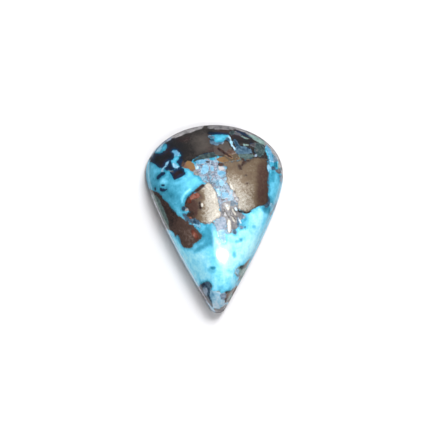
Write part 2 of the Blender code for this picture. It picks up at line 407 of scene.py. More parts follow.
# Each patch has its kind, its tone from about 0 dark to 1 light, and its outline. A later one covers an
# earlier one. With a fourth value it is a slow change of shade, which blends over so many mm and shows only
# where that kind shows already.
markings = [
    # slow changes of shade in the turquoise: darker upper left, lighter lower half, partly painted light and
    # shade
    ("turquoise", 0.35, [(-9, 9), (-5, 7), (-4.2, 4), (-4.4, 1.5), (-9, 4)], 2.5),
    ("turquoise", 0.47, [(-9.5, 8.6), (-7.2, 7.8), (-7.2, 6), (-9.5, 5)], 1),
    ("turquoise", 0.78, [(-6, -2.6), (-2.6, -4.2), (0, -3), (0.5, -13), (-6, -13)], 2),
    ("turquoise", 0.85, [(2.6, 1.5), (7, 2), (8, 0), (4.6, -6.5), (2.6, -9), (0.3, -9), (0.6, -3),
        (2.4, -1)], 2.2),
    # a darker band along the steep right shoulder: painted shade
    ("turquoise", 0.6, [(6.7, 1.4), (8.5, 2), (5, -5.6), (4.2, -5.6), (5, -4), (5.8, -2), (6.3, -0.5)], 0.9),
    ("turquoise", 0.75, spot(-6.6, 5.1, 1, 1.2), 0.8),
    ("turquoise", 0.15, [(-6.3, 3.7), (-5.5, 3.9), (-5.2, 3.2), (-5.6, 2.8), (-6.2, 3.1)], 0.8),
    # broken light and grey pieces between the pyrite and the matrix
    ("broken", 0.5, [(-2.4, 8), (-1, 8.6), (0.3, 8.8), (0.6, 8), (0.5, 7.4), (2, 7.5), (2, 5.6), (2.1, 5),
        (2.3, 4.2), (2.5, 3.4), (3.1, 2.9), (3.1, 1.6), (3.6, 1), (4.2, 0.5), (3.2, 0.1), (2.8, -0.9),
        (2.2, -1.5), (1.6, -1.8), (1.2, -1.5), (0.7, -1.8), (0.2, -1.3), (-0.1, 0.2), (0.6, 1), (0.6, 2.6),
        (0.2, 3.9), (-0.3, 4.7), (-0.9, 5), (-1.6, 5.4), (-2, 6), (-2.2, 7)]),
    # dark rock fills the round end; the light grey band round its skirt is painted reflection of the white
    # board
    ("matrix", 0.6, [(-8.6, 7.9), (-9.8, 8.6), (-7, 12), (-3, 13.8), (2, 13.8), (6, 12.5), (8, 10.4),
        (6.9, 10.4), (6.75, 9.6), (7.05, 8.9), (7.1, 8.2), (6.9, 7.6), (6, 8.4), (4.6, 8.3), (3, 8),
        (0.5, 8.6), (0.3, 9.3), (-1.5, 8.6), (-3.8, 7.9), (-6, 7.9)]),
    ("host", 0.75, [(-8.3, 8.9), (-7.6, 9.6), (-6.7, 10.5), (-6, 10.8), (-5.1, 11.1), (-4, 11.4), (-3, 11.8),
        (-2, 12.15), (-1.2, 12.45), (-1, 13.8), (-5, 13.5), (-9.5, 10)]),
    ("host", 0.35, [(-0.7, 12.6), (-0.4, 12.1), (0.4, 12), (1.9, 12.1), (2.6, 12.35), (3.4, 12.2),
        (3.8, 13.6), (-0.8, 13.9)]),
    ("host", 0.6, [(2.9, 12.4), (4, 11.9), (5, 11.35), (6, 10.75), (6.7, 10.35), (7.2, 9.8), (7.6, 9.2),
        (8, 8.8), (8.4, 8.3), (9.1, 8), (9.3, 7.2), (9.3, 5.6), (11, 7), (9, 11.5), (3, 14)]),
    ("host", 0.75, [(-1, 12.75), (1, 12.75), (3, 12.5), (5, 11.9), (7, 10.9), (9, 8.6), (10, 12),
        (0, 15)], 0.5),
    ("sage", 0.9, [(4.2, 11.6), (5.1, 11.1), (6.1, 10.5), (6.7, 10.2), (6.9, 10.5), (6.2, 11.05),
        (5.2, 11.6)]),
    ("sage", 0.05, [(2.1, 12), (2.9, 12.05), (2.9, 11.6), (2.3, 11.5)]),
    ("host", 0.05, [(2.9, 12), (3.6, 11.85), (3.95, 11.5), (3.3, 11.5), (2.8, 11.6)]),
    # near-black matrix over the upper left, and the turquoise left standing in it
    ("matrix", 0.55, [(-6.1, 10.4), (-6, 10.75), (-5.1, 11.05), (-4, 11.35), (-3, 11.7), (-2, 12.1),
        (-1.1, 12.4), (2.2, 12.2), (2.3, 11.6), (-0.4, 11.5), (-0.7, 10.9), (-0.2, 9.9), (0.4, 9.4),
        (0.35, 8.9), (-0.17, 8.8), (-0.9, 8.6), (-1.5, 8.55), (-2.1, 8.45), (-2.6, 8.2), (-3.05, 8.05),
        (-3.45, 8.1), (-3.8, 7.95), (-4, 7.3), (-4.35, 7.1), (-4.9, 7), (-5.4, 6.8), (-5.8, 8.5)]),
    ("matrix", 0.8, [(-2.6, 11.6), (-0.6, 11.8), (0.2, 10.2), (-0.6, 9.2), (-2.4, 9.2)], 1.4),
    ("matrix", 0.35, [(-6, 11), (-4.4, 11.2), (-3.4, 9.6), (-3.6, 8.2), (-6, 8.4)], 1.2),
    ("matrix", 0.2, [(-8.4, 8.4), (-7.4, 9.1), (-6.4, 9.1), (-6, 9.5), (-6.1, 10.4), (-5.2, 10.4),
        (-4.6, 9.6), (-4.1, 8.8), (-4, 7.6), (-3.9, 7), (-4.9, 7), (-5.4, 6.7), (-6.3, 6.7), (-6.6, 7),
        (-7.15, 7), (-7.5, 7.4), (-7.9, 7.75), (-8.4, 7.9)]),
    ("turquoise", 0.5, [(-5.4, 9.3), (-5.14, 9.5), (-4.74, 9.44), (-4.62, 9.17), (-4.36, 8.98), (-4.1, 8.64),
        (-4.5, 8.57), (-4.44, 8.43), (-4.51, 8.23), (-4.78, 7.89), (-4.85, 7.76), (-4.53, 7.43),
        (-4.34, 7.23), (-4.54, 7.09), (-4.87, 7.02), (-5.19, 7.09), (-5.32, 7.35), (-5.44, 7.76),
        (-5.63, 8.02), (-5.3, 8.16), (-5.1, 8.36), (-5.15, 8.7), (-5.21, 9.03)]),
    ("pale", 0.38, [(-5.35, 7.6), (-5.1, 7.75), (-4.6, 7.35), (-4.4, 7.2), (-4.87, 7.05), (-5.15, 7.15)]),
    ("pale", 0, [(-5.4, 9.3), (-5.14, 9.5), (-4.74, 9.44), (-4.62, 9.17), (-4.36, 8.98), (-4.5, 8.7),
        (-5.1, 8.6), (-5.21, 9.03)]),
    ("pale", 0.3, [(-6.1, 7.75), (-5.83, 8.02), (-5.7, 7.88), (-5.97, 7.48), (-6.32, 7.02), (-6.45, 6.68),
        (-6.65, 6.4), (-6.9, 6.6), (-6.64, 6.95), (-6.37, 7.35)]),
    ("turquoise", 0.3, [(-6.7, 10.5), (-6.2, 10.4), (-6, 10), (-6.15, 9.5), (-6.6, 9.15), (-7.1, 8.95),
        (-7.6, 9.05), (-7.4, 9.5), (-7, 10)]),
    ("pale", 0.55, [(-7.5, 9.2), (-7.1, 9.7), (-6.8, 10.3), (-6.55, 10.3), (-6.75, 9.7), (-7.2, 9.15)]),
    # pale blue-grey band on the upper left rim: painted reflection of the white board
    ("slate", 0.95, [(-8.1, 8.2), (-7.75, 8.85), (-7.35, 9.5), (-6.8, 10.1), (-6.2, 10.5), (-5.3, 10.9),
        (-5.6, 11.8), (-7.2, 11.2), (-8.3, 10.2), (-9.2, 9)]),
    ("matrix", 0.15, [(-5.7, 7.8), (-5.5, 7.75), (-5.32, 7.35), (-5.18, 7), (-5.05, 6.9), (-5.3, 6.75),
        (-5.7, 6.85), (-6.05, 6.9), (-6.25, 6.65), (-6.3, 6.8), (-6.1, 7.15), (-5.85, 7.5)]),
    ("matrix", 0.2, [(-5.8, 6.5), (-5.1, 6.75), (-4.95, 6.95), (-4.55, 7.05), (-4.15, 7.1), (-3.9, 7),
        (-3.8, 6.7), (-3.6, 6.35), (-3.65, 6.15), (-4.3, 5.85), (-4.8, 5.5), (-5.2, 5.45), (-5.5, 6)]),
    ("matrix", 0.1, [(-6.4, 6.45), (-6.3, 6.2), (-6.9, 5.85), (-7.2, 5.45), (-7.5, 5.5), (-7.45, 5.9),
        (-7, 6.3), (-6.85, 6.5)]),
    ("matrix", 0.1, spot(-6.62, 4.7, 0.45, 0.22)),
    ("matrix", 0.1, [(-7.05, 4.35), (-6.9, 4.35), (-6.5, 4.25), (-6.05, 4.2), (-6.4, 3.95), (-6.8, 3.85),
        (-7.1, 3.9)]),
    ("matrix", 0.2, spot(-7.7, 4.3, 0.3, 0.5)),
    ("host", 0.2, [(-5.95, 6.8), (-5.85, 6.6), (-5.3, 6.4), (-5.2, 6.55), (-5.6, 6.75)]),
    # ochre at the corner of the black, and light scraps beside it
    ("matrix", 0.5, [(-4.2, 7.6), (-4, 8.2), (-3.2, 8.35), (-2.6, 8.3), (-2.7, 7.95), (-3.2, 7.8),
        (-3.7, 7.6)]),
    ("ochre", 0.5, [(-4, 7.4), (-3.6, 7.85), (-3.15, 7.95), (-2.75, 7.85), (-2.45, 7.6), (-2.35, 7.2),
        (-2.4, 6.8), (-2.8, 6.6), (-3.15, 6.95), (-3.65, 7), (-4, 7.1)]),
    ("brown", 0.4, spot(-4, 7.5, 0.4, 0.8)),
    ("host", 0.7, [(-2.7, 6.75), (-2.3, 6.9), (-1.9, 6.5), (-1.75, 6.1), (-2.1, 6), (-2.5, 6.3)]),
    ("ochre", 0, [(-4.2, 7.9), (-3.7, 7.9), (-3.5, 7.2), (-2.9, 6.8), (-2.2, 6.9), (-1.6, 6.4), (-2, 5.8),
        (-3.4, 6.6), (-4.3, 7)], 0.5),
    ("pale", 0.1, [(-2.6, 8.05), (-2.2, 8.3), (-1.6, 8.45), (-1.15, 8.4), (-0.8, 8.2), (-0.65, 8), (-1, 7.8),
        (-1.25, 7.6), (-1.7, 7.5), (-2.15, 7.6), (-2.5, 7.8)]),
    ("pale", 0.6, [(-1.2, 8.15), (-0.8, 8.45), (-0.6, 8.4), (-0.8, 8.15)]),
    ("turquoise", 0.4, [(-0.6, 8.2), (-0.4, 8.5), (0.2, 8.6), (0.3, 8.2), (-0.1, 8)]),
    ("sage", 0.05, [(-2.7, 8), (-2.2, 8.5), (-1.2, 8.95), (0, 9.2), (0.6, 9.1), (0.6, 8.6), (-0.1, 8.4),
        (-1.2, 8.3), (-2, 8.05), (-2.6, 7.85)]),
    ("pale", 0.7, spot(-2.05, 7.1, 0.5)),
    ("pale", 0.4, [(-1.3, 7.4), (-0.9, 7.45), (-0.6, 7.2), (-0.6, 6.75), (-0.95, 6.35), (-1.35, 6.2),
        (-1.65, 6.5), (-1.6, 6.8), (-1.45, 7.1)]),
    ("slate", 0.25, spot(-1.55, 7.35, 0.35, 0.3)),
    ("host", 0.3, spot(-0.7, 7.85, 0.6, 0.35)),
    ("slate", 0.2, spot(-0.2, 7.4, 0.4, 0.3)),
    ("pale", 0.25, spot(-0.15, 6.95, 0.5, 0.6)),
    # top of the round end, from the middle to the right
    ("matrix", 0.9, [(0, 10.1), (0.9, 10.4), (1.9, 10.7), (2.1, 10.1), (2.6, 9.6), (2, 9.2), (1.4, 8.7),
        (0.6, 8.7), (0.1, 9)]),
    ("matrix", 0, [(-0.6, 11.95), (0.6, 11.9), (2, 11.75), (2.3, 11.5), (0, 11.55), (-0.6, 11.6)]),
    ("slate", 0.3, [(-0.2, 10.9), (0.5, 10.8), (1.5, 10.7), (1.3, 10.4), (0.6, 10.15), (-0.1, 10.2),
        (-0.4, 10.5)]),
    ("turquoise", 0.42, [(-0.6, 11.3), (0, 11.5), (1, 11.55), (2.2, 11.5), (2.2, 11.2), (1.65, 11),
        (1.45, 10.75), (1.25, 10.55), (0.55, 10.55), (0.15, 10.7), (-0.3, 11)]),
    ("slate", 0.35, [(-0.7, 11.3), (-0.2, 11.5), (0.2, 11.35), (0.2, 10.95), (-0.3, 10.95)]),
    ("slate", 0, spot(-0.1, 10.8, 0.6, 0.35)),
    ("slate", 0, [(1.65, 11.1), (2.2, 11.15), (2.25, 10.9), (2.1, 10.7), (1.75, 10.7)]),
    ("matrix", 0.45, [(2.4, 11.5), (3.4, 11.5), (4.2, 11.15), (4.9, 11), (5.3, 10.8), (5, 10.45), (4.2, 10.5),
        (3.4, 10.4), (3.1, 10.1), (2.75, 10.5), (2.55, 10.9)]),
    ("slate", 0, [(2.7, 10.9), (2.95, 10.9), (3.3, 10.4), (3.5, 10), (3.2, 9.8), (2.85, 10.2)]),
    ("matrix", 0.2, [(3, 12.2), (3.9, 11.95), (4.6, 11.6), (5.2, 11.2), (5.1, 11.05), (4.4, 11.4),
        (3.7, 11.7), (2.9, 12)]),
    ("sage", 0.8, [(3.5, 11.5), (4.2, 11.3), (4.75, 11.15), (4.7, 11), (4, 11.15)]),
    ("host", 0, [(4.7, 10.45), (5.6, 10.5), (5.7, 10.05), (5, 9.95)]),
    ("sage", 0.1, [(5.6, 10.6), (6.7, 10.4), (6.75, 9.4), (6.4, 8.8), (5.8, 8.7), (5.3, 9.2), (5.5, 9.9)]),
    ("sage", 0.9, [(3.9, 10.3), (4.3, 10.25), (4.7, 10.3), (4.65, 10.12), (4.3, 10.06), (3.95, 10.12)]),
    ("pale", 0.6, [(2.07, 11.4), (2.25, 11.3), (2.4, 10.9), (2.55, 10.55), (2.75, 10), (2.95, 9.6),
        (2.9, 9.4), (2.5, 9.9), (2.15, 10.4), (2.2, 10.85), (2.1, 11.1)]),
    ("slate", 0.25, [(2.95, 9.9), (3.4, 10.1), (4.1, 10), (4.7, 9.8), (5, 9.5), (5, 9.1), (4.5, 8.9),
        (3.8, 8.8), (3.2, 8.9), (2.95, 9.3)]),
    ("slate", 0, spot(3.35, 9.85, 0.5, 0.3)),
    ("slate", 0.45, spot(4.9, 9.2, 0.4, 0.3)),
    ("host", 0.3, spot(5.7, 9.5, 0.3, 0.45, 30)),
    ("slate", 0.9, [(5.35, 9), (5.7, 9.05), (5.8, 8.75), (5.6, 8.55), (5.35, 8.65)]),
    # olive and ochre above the large pyrite
    ("sage", 0.35, [(3.1, 9), (4.4, 9), (5, 8.85), (5.4, 8.6), (4.6, 8.3), (4.2, 8.1), (3.2, 8.1)]),
    ("ochre", 1.2, [(1.3, 8.5), (1.7, 9), (2.3, 9.4), (2.8, 9.3), (3.2, 8.9), (3.5, 8.3), (3, 7.9),
        (1.6, 7.9)]),
    ("ochre", 0.7, [(0.6, 8.5), (1.3, 8.65), (1.9, 8.3), (2, 7.8), (1.5, 7.7), (1.2, 7.8), (0.6, 7.9),
        (0.4, 8.1)]),
    ("brown", 0.5, [(1.5, 9.1), (2.2, 9.7), (2.8, 9.45), (3, 9.1), (2.5, 8.95), (1.8, 8.8)]),
    ("brown", 0.1, [(0.5, 9.9), (0.9, 9.8), (1.6, 9.2), (2.5, 8.6), (2.6, 8.3), (2.3, 8.3), (1.5, 8.85),
        (0.55, 9.5)]),
    ("bronze", 0.85, spot(3.1, 8.3, 0.5, 0.4)),
    ("brown", 0.3, [(0.5, 7.7), (1.4, 7.7), (1.35, 7.3), (0.6, 7.35)]),
    ("host", 0.95, [(0.5, 7.3), (1.2, 7.35), (1.6, 7), (1.3, 6.7), (0.7, 6.8)]),
    ("pale", 0.2, [(0.4, 6.7), (1.1, 6.7), (1.6, 6.5), (1.4, 6.1), (0.7, 6)]),
    # the large pyrite of the right side
    ("bronze", 0.5, [(1.4, 7.9), (1.35, 7.5), (1.8, 7.1), (1.5, 6.8), (1.8, 6.3), (1.5, 6), (1.75, 5.6),
        (1.5, 5.2), (2, 4.8), (2, 4.4), (2.4, 4), (2.5, 3.4), (3, 2.8), (3, 1.9), (3.1, 1.5), (3.4, 1.25),
        (4, 1.15), (4.4, 1.15), (4.7, 1.3), (5, 1.6), (5.5, 1.9), (5.9, 2.1), (6.5, 2.1), (6.95, 2),
        (7.1, 2.6), (6.95, 3.2), (7, 4), (7.1, 5), (7.1, 6.6), (7.15, 7.2), (7.1, 7.9), (6.85, 8.4),
        (6.2, 8.6), (5.3, 8.5), (4.5, 8.3), (4, 8.2), (3.2, 8.1), (2.3, 8)]),
    # painted sheen on the large pyrite: darker at its top
    ("bronze", 0.38, [(1, 9), (7.5, 9), (7.4, 5), (4.8, 5.4), (2, 6.4)], 1.6),
    # its own darker brown down its right side
    ("bronze", 0.05, [(5.9, 8.2), (7.5, 8), (7.5, 1.4), (5.5, 1.4), (5.4, 3), (5.6, 5)], 0.9),
    # painted sheen on the large pyrite: lighter to its lower left
    ("bronze", 0.73, [(1.4, 6.2), (3.5, 5.2), (5.2, 2), (3.8, 0.6), (1.8, 1.6)], 2.4),
    ("slate", 0.1, [(6.5, 2.1), (6.75, 2.3), (6.95, 2.8), (7.15, 2.8), (7.25, 2.4), (7, 1.9), (6.7, 1.8)]),
    ("slate", 0.3, [(7, 8.3), (7.15, 7.2), (7.1, 6), (7.1, 4.2), (7.2, 4.2), (7.25, 6), (7.32, 7.3),
        (7.3, 8.4)]),
    ("brown", 0.15, [(3.5, 8.6), (3.85, 8.35), (4.2, 8.12), (4.8, 8.2), (4.7, 8), (4.2, 7.95), (4, 7.7),
        (3.75, 7.35), (3.6, 7.45), (3.85, 7.85), (3.9, 8.1), (3.65, 8.25)]),
    ("brown", 0.25, [(3.1, 7.55), (3.45, 7.45), (3.65, 6.9), (3.4, 6.85), (3.25, 7.25)]),
    ("brown", 0.4, spot(4.15, 6.15, 0.5, 0.22)),
    ("brown", 0.5, spot(4.35, 5.05, 0.3, 0.2)),
    # sparkling crumbs along the large pyrite's left side
    ("host", 0.7, [(2.3, 4.2), (2.6, 4), (2.9, 3.3), (3.2, 3), (3.1, 2.6), (2.7, 2.8), (2.4, 3.5)]),
    ("bronze", 1, [(1.9, 4.9), (2.2, 4.9), (2.5, 4.3), (2.3, 4.1)]),
    ("host", 0.2, spot(2.75, 3.1, 0.4, 0.25, 40)),
    ("host", 0.15, spot(2.6, 3.9, 0.2, 0.35, 30)),
    # the pyrite in the middle, with rusty matrix along its left side
    ("bronze", 0.8, [(-0.7, 5.25), (-1.2, 4.8), (-1.57, 4.5), (-2.1, 4.15), (-2.5, 3.8), (-3.2, 3.4),
        (-3.6, 2.95), (-3.85, 2.5), (-3.85, 2), (-3.6, 1.7), (-3.3, 1.5), (-3.5, 1.1), (-3.75, 0.8),
        (-3.6, 0.3), (-3.1, 0.1), (-2.85, -0.45), (-2, -0.25), (-1.4, -0.3), (-1, -0.4), (-0.5, -0.2),
        (0, 0.1), (0.3, 0.2), (0.8, 0.6), (0.9, 1), (0.75, 1.5), (0.6, 2), (0.55, 2.5), (0.5, 3), (0.4, 3.5),
        (0.15, 4), (0, 4.3), (-0.3, 4.9)]),
    ("bronze", 0.45, [(-4, 4.4), (-1.4, 4.6), (-1, 2.2), (-1.4, -0.5), (-4.2, -0.5)], 1.2),
    ("bronze", 0, [(-4.2, 3.2), (-2.4, 3), (-2, 2), (-2.2, 0.6), (-2.4, -0.6), (-4.2, -0.6)], 0.9),
    ("rust", 0.2, [(-3.5, 3), (-3.1, 3.1), (-2.9, 2.5), (-3.2, 2.2), (-3.6, 2.5)]),
    ("bronze", 0.2, [(-2.9, 3.9), (-1.5, 3.8), (-1.2, 3), (-1.7, 2.5), (-2.6, 2.6)], 0.6),
    ("brown", 0.1, [(-3.85, 2.3), (-3.7, 2.85), (-3.4, 3.3), (-2.95, 3.7), (-2.4, 4.15), (-1.9, 4.55),
        (-1.4, 4.95), (-1.15, 4.7), (-1.8, 4.1), (-2.4, 3.7), (-3.1, 3.2), (-3.5, 2.6), (-3.7, 2.2)]),
    ("turquoise", 0.8, [(-4.25, 2.2), (-4, 3.2), (-3.4, 3.8), (-2.9, 4.2), (-3.2, 4.3), (-3.8, 3.9),
        (-4.4, 3)], 0.35),
    ("rust", 0.6, [(-3.3, 3.1), (-2.8, 3.55), (-2.2, 3.85), (-1.75, 3.5), (-1.9, 3.05), (-2.5, 3),
        (-3, 2.7)]),
    ("brown", 0, [(-2, 2.5), (-1.78, 2.5), (-1.85, 2.1), (-1.65, 1.75), (-1.8, 1.6), (-2.05, 1.9)]),
    ("bronze", 1, spot(-1.6, 2.1, 0.3, 0.5)),
    ("brown", 0.1, [(-3.5, 1.1), (-3, 1.3), (-2.6, 1), (-2.9, 0.7), (-3.4, 0.7)]),
    ("rust", 0.75, spot(-3.2, 0.4, 0.5, 0.35)),
    ("slate", 0, spot(-4, 1.6, 0.55, 0.65)),
    ("host", 0.65, spot(-3.6, 1.45, 0.35, 0.6, -35)),
    ("host", 0.6, spot(-2.5, 0.3, 0.25)),
    ("host", 0.95, spot(-0.7, -0.25, 0.5, 0.25, 10)),
    ("host", 0.15, spot(-1.3, -0.35, 0.45, 0.22, -10)),
    ("slate", 0.2, spot(-0.1, -0.3, 0.35, 0.3)),
    # light pieces and gold shards right of it
    ("pale", 0.6, [(0.3, 4.3), (0.7, 4.4), (0.9, 3.8), (0.85, 3.2), (0.5, 3.2), (0.35, 3.8)]),
    ("pale", 0.3, [(0.9, 5.6), (1.4, 5.4), (1.3, 4.7), (0.9, 4.6), (0.6, 5.1)]),
    ("slate", 0.6, [(1.5, 5), (1.9, 4.7), (2, 4.2), (1.6, 4.1), (1.4, 4.5)]),
    ("pale", 0.1, [(1.1, 3.9), (1.8, 3.8), (1.9, 3.2), (1.2, 3.1), (1, 3.5)]),
    ("host", 0.38, [(0.9, 2.6), (2.7, 2.6), (3.1, 1.6), (3.6, 0.9), (3.3, -0.2), (2.6, -1.3), (2.3, -1.2),
        (1.5, 0.2), (0.9, 0.7), (0.9, 1.4)]),
    ("slate", 0.15, [(2.1, 2.75), (2.5, 2.7), (2.9, 2.4), (2.8, 2.1), (2.3, 2), (2.1, 2.3)]),
    ("matrix", 0.8, spot(1.1, 2.85, 0.5, 0.25)),
    ("matrix", 0.6, [(2.9, 1.5), (3.2, 1.15), (4, 1), (4.7, 1.15), (4.95, 1.4), (4.2, 1.25), (3.4, 1.4)]),
    ("matrix", 0.9, [(1.2, 1.9), (1.4, 1.5), (1.65, 1), (1.95, 0.5), (1.85, 0.35), (1.5, 0.8), (1.15, 1.5)]),
    ("matrix", 0.9, [(2, 1.3), (2.2, 0.95), (2.6, 0.4), (2.9, -0.1), (2.75, -0.2), (2.3, 0.4), (2, 0.9)]),
    ("slate", 0.35, [(2.9, 0.6), (3.15, 0.2), (3.2, -0.5), (3, -0.9), (2.8, -0.5), (2.85, 0.1)]),
    ("bronze", 1, [(1.2, 2.25), (1.7, 2.35), (2.1, 2.2), (2.1, 1.85), (1.85, 1.3), (1.6, 1.6), (1.3, 1.9)]),
    ("pale", 1, spot(1.6, 2.05, 0.5, 0.25)),
    ("bronze", 1, [(2.15, 1.8), (2.35, 1.7), (2.65, 1.3), (2.95, 0.9), (2.85, 0.6), (2.55, 0.8), (2.3, 1.3)]),
    ("pale", 1, [(2.75, 1.9), (2.95, 1.7), (3, 1.4), (2.8, 1.35), (2.6, 1.6)]),
    ("bronze", 0.95, [(2.1, 0.75), (2.35, 0.55), (2.65, 0), (2.6, -0.3), (2.3, 0.05)]),
    ("pale", 0.95, [(3, 0.55), (3.2, 0.3), (3.45, -0.2), (3.4, -0.4), (3.15, -0.1)]),
    ("host", 0.95, [(1.3, 1.25), (1.5, 1.1), (1.6, 0.7), (1.4, 0.6), (1.2, 0.9)]),
    ("bronze", 1, [(1.65, 0.3), (2, 0.3), (2.15, -0.5), (2.05, -1.5), (1.7, -1.5), (1.55, -0.9)]),
    ("slate", 0.8, [(0.1, 0.1), (0.9, 0.5), (1.35, 0.5), (1.45, -0.2), (1.4, -1.2), (1, -1.5), (0.7, -1.2),
        (0.4, -1.5), (0.2, -0.8), (-0.1, -0.4)]),
    # partly a pale scrap, partly the lamp's highlight streak as painted highlight, with lighter turquoise
    # round it
    ("pale", 0.4, [(0.3, -1.3), (0.8, -1.1), (1.35, -1.2), (1.2, -1.8), (1.45, -2.4), (1.05, -3),
        (0.85, -2.3), (0.5, -2.6), (0.45, -1.8)]),
    ("turquoise", 0.85, [(-0.1, -0.8), (2.6, -1.2), (2.6, -3.2), (-0.1, -3.6)], 1),
    ("slate", 0.5, [(3.2, -0.5), (3.6, -0.55), (3.75, -0.9), (3.4, -1.05), (3.15, -0.8)]),
    ("slate", 0.4, spot(3.9, -0.75, 0.25, 0.35)),
    ("slate", 0.5, [(2.2, -1.3), (2.6, -1.1), (2.9, -1.5), (2.5, -1.8)]),
    # dark and light scraps at the right edge
    ("pale", -0.05, [(6.9, 10.4), (7.4, 9.9), (7.75, 9), (7.9, 8), (7.5, 7.9), (7.3, 8.8), (7, 9.6)]),
    ("slate", 0.5, [(7.75, 8.9), (8.1, 8.9), (8.45, 8.4), (8.4, 7.9), (7.95, 7.9), (7.8, 8.3)]),
    ("turquoise", 0.15, [(7.9, 8), (8.4, 7.95), (8.5, 7.3), (8, 7.15), (7.85, 7.5)]),
    ("pale", 0.3, [(7, 7.6), (7.35, 7.6), (7.4, 7), (7.2, 6.5), (7, 6.8)]),
    ("sage", 1, [(8.5, 8.4), (9, 8.3), (9.2, 7.4), (8.9, 7), (8.45, 7.2), (8.4, 7.8)]),
    ("slate", 0.1, [(7.5, 7.25), (7.9, 7.4), (8.2, 7), (7.8, 6.8), (7.5, 6.9)]),
    ("host", 0.1, [(8.1, 7), (8.8, 7.1), (9, 6.6), (8.5, 6.4), (8.15, 6.6)]),
    ("host", 0.9, spot(9, 6.5, 0.4, 0.4)),
    ("matrix", 0.4, [(8.8, 7.15), (9.4, 7.25), (9.4, 7), (8.9, 6.9)]),
    ("matrix", 0.4, spot(9.15, 6.15, 0.5, 0.3)),
    # the pale grey band on the right skirt: painted reflection of the white board
    ("host", 0.8, [(6.7, 10.7), (7.35, 10), (7.9, 9.2), (8.35, 8.5), (8.6, 7.6), (8.85, 6.6), (9.1, 5.8),
        (9.9, 6.5), (9.6, 8.5), (8.6, 10.5), (7.2, 11.8)]),
    ("host", 0.1, spot(8.95, 7.1, 0.4, 0.5)),
    ("host", 0.15, spot(9.1, 6.1, 0.35, 0.5)),
    ("slate", 0.6, [(8.5, 6.2), (8.9, 6.2), (9, 5.4), (8.8, 5.2)]),
    ("turquoise", 0.2, [(7.5, 6.6), (7.9, 6.6), (7.95, 5.4), (7.7, 5.2), (7.5, 5.8)], 0.4),
    ("slate", 0.1, [(6.9, 3.4), (7.1, 3.4), (7.25, 2.9), (7.15, 2.5), (6.95, 2.7)]),
    ("turquoise", 0.3, [(6, 1.9), (7.2, 2), (7.4, 1.3), (6.9, 1), (6.3, 1.3)], 0.4),
    ("slate", 0.5, [(7.3, 1.2), (7.6, 1.5), (7.9, 2), (8, 1.7), (7.6, 0.9), (7.3, 0.7)]),
    ("pale", 0.4, [(7.2, 2.4), (7.6, 2.5), (7.6, 1.9), (7.25, 1.8)]),
    # brown matrix down the left side, with a rusty heart, and a grey band below it on the skirt
    ("brown", 0.4, [(-8.8, 4), (-7.83, 3.9), (-7.05, 3.56), (-6.73, 3.03), (-6.34, 2.63), (-5.83, 2.09),
        (-5.51, 1.56), (-5.13, 1.17), (-4.68, 0.63), (-4.16, 0.31), (-3.7, 0.1), (-3.3, -0.4), (-2.8, -0.6),
        (-2.35, -1.05), (-2, -1.4), (-1.65, -1.75), (-1.72, -2), (-2, -2.7), (-2.65, -2.9), (-3, -3.15),
        (-3.05, -3.5), (-3.6, -3.65), (-4.2, -3.55), (-4.45, -3), (-4.62, -2.4), (-4.9, -1.85), (-5.2, -2.3),
        (-5.45, -1.45), (-6, -1.5), (-7.6, -1.6), (-8.8, 0)]),
    ("brown", 0.1, [(-8.5, 4.6), (-5.6, 2.4), (-4.6, 0.9), (-5.4, -0.6), (-6.2, -1.2), (-8.6, 1)], 0.9),
    ("brown", 0.55, [(-4.4, -0.8), (-2.4, -1), (-2.4, -2.9), (-4, -3.3)], 1),
    # the grey skirt band, lighter towards the edge: the rock's own grey with a painted reflection of the board
    ("sage", 0.4, [(-8.8, 3.8), (-7.35, 3.3), (-6.9, 2.2), (-6.5, 1.2), (-6.15, 0.2), (-5.95, -0.8),
        (-5.85, -1.7), (-7, -1.8), (-8.6, 1)]),
    ("sage", 0.7, [(-8.8, 3.6), (-7.9, 3.2), (-7.4, 2.2), (-7, 1.2), (-6.65, 0.2), (-6.4, -0.8),
        (-8.6, 1)], 0.6),
    ("rust", 0.15, [(-3.2, -1.1), (-2.7, -1.2), (-2.3, -1.7), (-2.15, -2.2), (-2.5, -2.5), (-2.8, -2.2),
        (-3.1, -1.7)]),
    ("rust", 0.8, spot(-2.75, -1.85, 0.6, 0.6), 0.5),
    ("pale", 0.15, [(-2.7, 0.15), (-2.1, 0.1), (-1.8, -0.4), (-1.9, -1.1), (-2.3, -0.8), (-2.8, -0.35)]),
    ("slate", 0.2, [(-4.25, 0.95), (-3.8, 1), (-3.6, 0.6), (-3.1, 0.25), (-2.6, 0.25), (-2, -0.05),
        (-1.9, -0.5), (-2.4, -0.45), (-3, -0.3), (-3.5, -0.15), (-3.9, 0.25)]),
    ("turquoise", 0.8, [(-6.6, -1.2), (-5.5, -1.4), (-4.6, -3.2), (-4.2, -4), (-5, -5), (-6.6, -3)], 0.4),
    # painted highlight: a pale line along the lower left rim, where the edge catches the light
    ("host", 0.95, [(-6.75, -0.3), (-6.3, -1.5), (-5.65, -2.9), (-4.95, -4.3), (-4.3, -5.7), (-3.7, -7),
        (-3.2, -8), (-3.1, -8.5), (-3.5, -7.7), (-4.15, -6.5), (-4.85, -5.1), (-5.5, -3.7), (-6.1, -2.4),
        (-6.7, -1.1)]),
    # darker veins and specks in the turquoise of the tip half
    ("turquoise", 0.25, [(-1.3, -0.8), (-0.5, -0.8), (-0.2, -3.2), (-1.2, -3.3), (-1.9, -2.4)], 0.6),
    ("turquoise", 0.2, [(-1, -2.6), (-1.9, -3.2), (-2.5, -3.7), (-2.8, -4.1), (-2.4, -4.2), (-1.7, -3.8),
        (-1, -3.3)], 0.5),
    ("turquoise", 0.55, [(3, 0.9), (4.4, 0.9), (4.6, 0.2), (4, -0.5), (3, -1.2)], 0.9),
    ("turquoise", 0.6, spot(5.1, -0.7, 0.5, 0.35), 0.3),
    ("turquoise", 0.5, spot(2.85, -2.7, 0.6, 0.4), 0.35),
